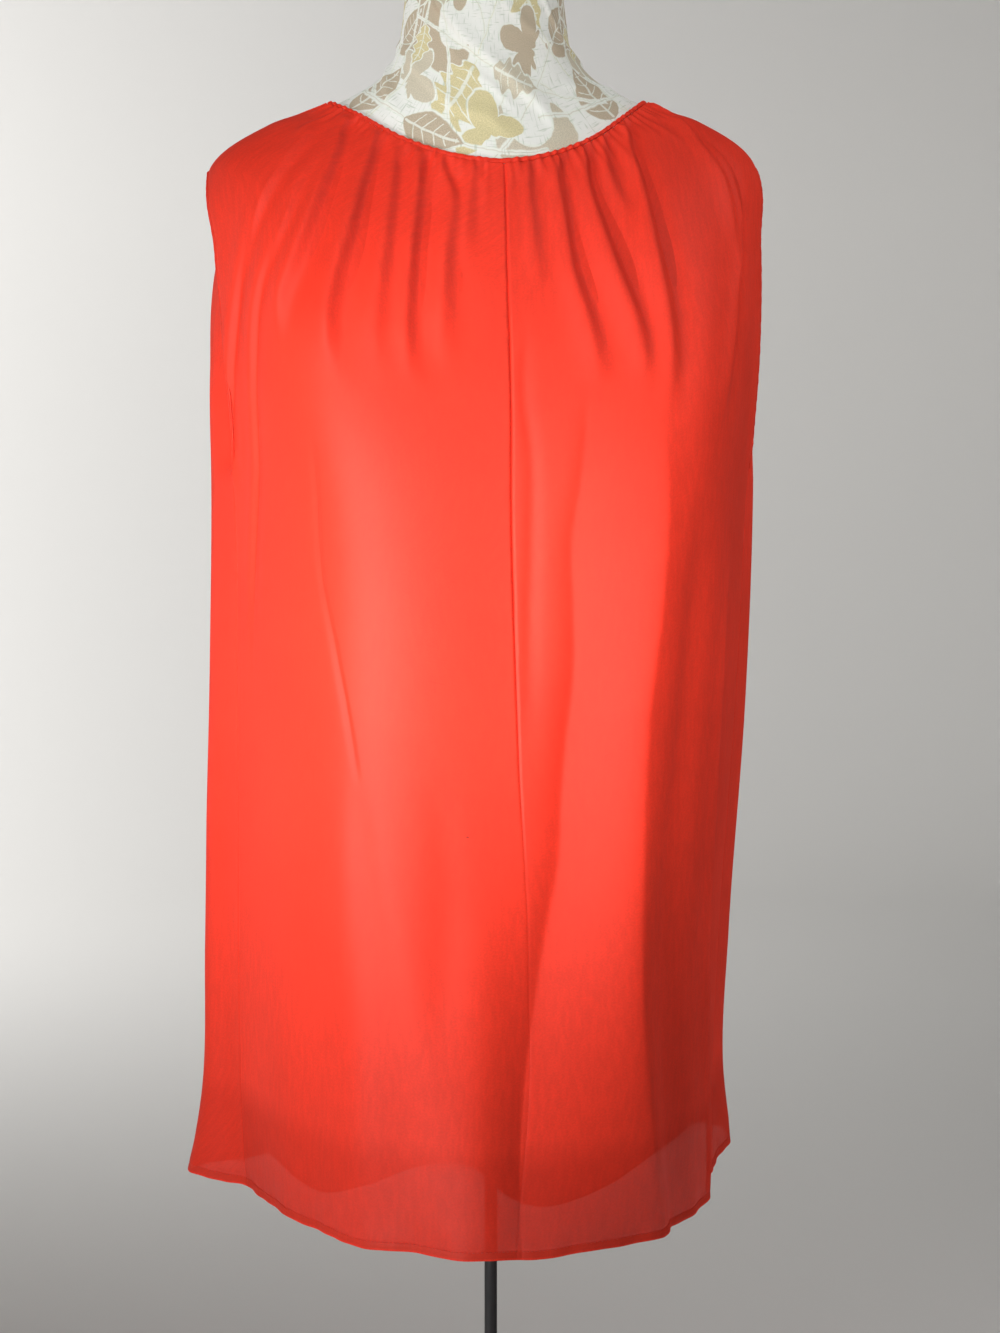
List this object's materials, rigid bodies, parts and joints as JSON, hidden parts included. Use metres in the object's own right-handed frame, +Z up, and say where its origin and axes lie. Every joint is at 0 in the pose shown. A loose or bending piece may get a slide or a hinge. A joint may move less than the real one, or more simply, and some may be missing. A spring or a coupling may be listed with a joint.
{
  "type": "mini dress on dress form",
  "caption": "Sleeveless mini dress with a gathered round neck, sheer outer cloth over a lining, worn by a limbless dress form on a pole stand.",
  "frame": {"origin": "on the floor, on the pole's centre line, in the middle of the underside of the stand's base", "axes": "+Z up along the pole, the front of the dress faces -Y, and +X is the right side of the picture seen from the front, the wearer's left"},
  "size_m": [0.4408, 0.3404, 1.3445],
  "materials": {
    "outer_cloth": "sheer crepe chiffon with a soft satin sheen",
    "lining_cloth": "plain matt lining cloth",
    "binding_cloth": "the outer cloth folded double and stitched",
    "form_cloth": "off-white linen-like cover with a taupe and khaki leaf print",
    "dark_steel": "dark satin paint"
  },
  "bodies": {
    "root": {"dress_front_left": "outer_cloth", "dress_front_right": "outer_cloth", "dress_back": "outer_cloth", "lining_front": "lining_cloth", "lining_back": "lining_cloth", "neck_binding": "binding_cloth", "armhole_binding_left": "binding_cloth", "armhole_binding_right": "binding_cloth", "form_torso": "form_cloth", "stand_pole": "dark_steel", "stand_base": "dark_steel"}
  },
  "joints": []
}
